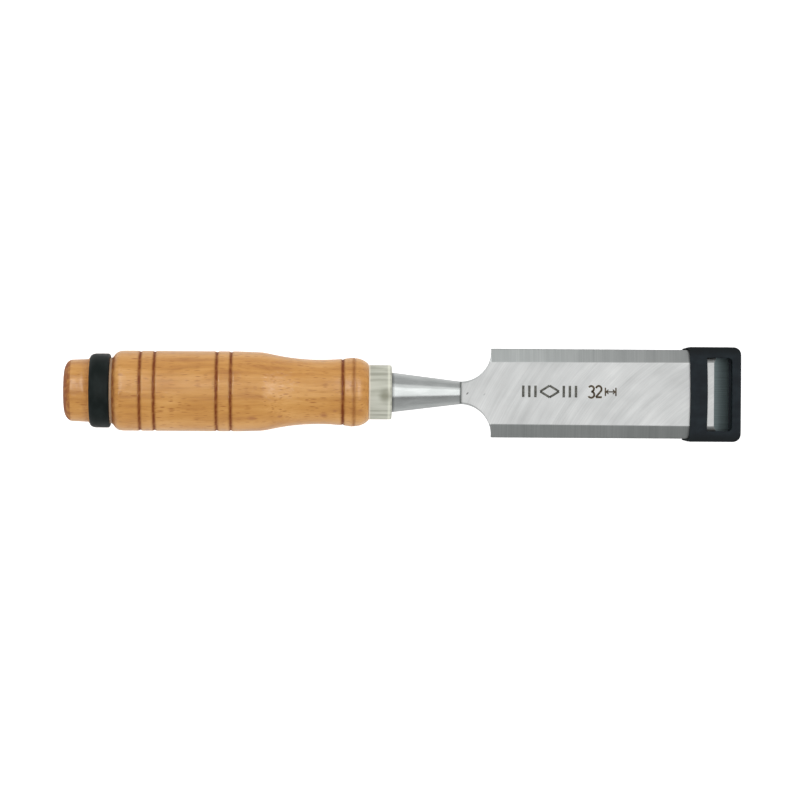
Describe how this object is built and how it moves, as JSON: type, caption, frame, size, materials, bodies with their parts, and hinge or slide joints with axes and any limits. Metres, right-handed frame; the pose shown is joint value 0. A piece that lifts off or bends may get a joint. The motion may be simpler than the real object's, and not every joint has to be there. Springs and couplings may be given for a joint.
{
  "type": "bench chisel",
  "caption": "Bevel-edged tang chisel with a turned beech handle, striking hoop, ferrule and a pull-off edge guard.",
  "frame": {"origin": "centre of the flat middle of the butt's striking face, on the handle's axis", "axes": "+X along the tool from the butt to the cutting edge, +Z out of the blade's bevelled face, so the flat back faces -Z"},
  "size_m": [0.2434, 0.034, 0.0288],
  "materials": {
    "blade_steel": "ground, with visible grinding marks",
    "beech": "clear lacquer, scorched grooves",
    "ferrule_plating": "nickel-plated, bright",
    "hoop_lacquer": "black, satin",
    "guard_plastic": "black, satin, moulded"
  },
  "bodies": {
    "chisel": {"blade": "blade_steel", "handle": "beech", "ferrule": "ferrule_plating", "hoop": "hoop_lacquer"},
    "guard": {"edge_guard": "guard_plastic"}
  },
  "joints": [
    {"name": "guard_slide", "type": "slide", "parent": "chisel", "child": "guard", "axis": [1, 0, 0], "range_m": [0, 0.03]}
  ]
}
